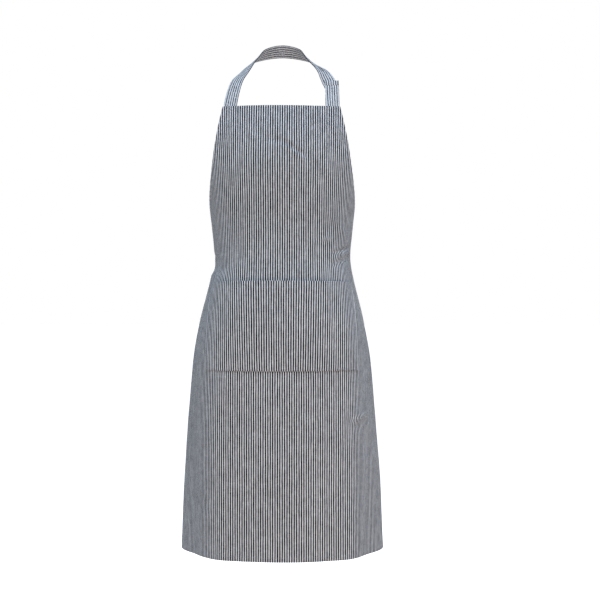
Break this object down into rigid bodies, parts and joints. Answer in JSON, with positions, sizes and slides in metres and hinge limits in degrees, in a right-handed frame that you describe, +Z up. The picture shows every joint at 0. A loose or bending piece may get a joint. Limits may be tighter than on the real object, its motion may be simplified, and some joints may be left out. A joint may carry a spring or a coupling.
{
  "type": "bib apron",
  "caption": "Striped woven bib apron with a wide patch pocket, a neck strap that buttons to a short tab, and waist ties in a bow behind.",
  "frame": {"origin": "middle of the neck strap's inner face, where the strap rests on the nape of the wearer's neck", "axes": "+Z up, -Y the way the wearer faces, +X towards the wearer's left hand"},
  "size_m": [0.4112, 0.274, 1.0506],
  "materials": {
    "striped_cloth": "yarn-dyed navy and white stripe, plain linen and cotton weave",
    "strap_cloth": "the same striped cloth, folded to four layers and topstitched",
    "button_resin": "turned and tumbled resin with four holes",
    "sewing_thread": "waxed white sewing thread"
  },
  "bodies": {
    "apron": {"body_panel": "striped_cloth", "pocket": "striped_cloth", "neck_tab": "strap_cloth", "neck_strap": "strap_cloth", "button_thread": "sewing_thread", "bow_knot": "strap_cloth", "waist_tie_left": "strap_cloth", "bow_loop_left": "strap_cloth", "waist_tie_right": "strap_cloth", "bow_loop_right": "strap_cloth"},
    "button": {"neck_button": "button_resin"},
    "left_tail": {"tie_tail_left": "strap_cloth"},
    "right_tail": {"tie_tail_right": "strap_cloth"}
  },
  "joints": [
    {"name": "button_turn", "type": "hinge", "parent": "apron", "child": "button", "pos_m": [0.10173, -0.11046, -0.09973], "axis": [0.0321, 0.8625, -0.505], "range_deg": [-90, 90]},
    {"name": "left_tail_swing", "type": "hinge", "parent": "apron", "child": "left_tail", "pos_m": [-0.005, 0.05143, -0.462], "axis": [0, 1, 0], "range_deg": [-3, 30]},
    {"name": "right_tail_swing", "type": "hinge", "parent": "apron", "child": "right_tail", "pos_m": [0.005, 0.05423, -0.462], "axis": [0, 1, 0], "range_deg": [-30, 3]}
  ]
}
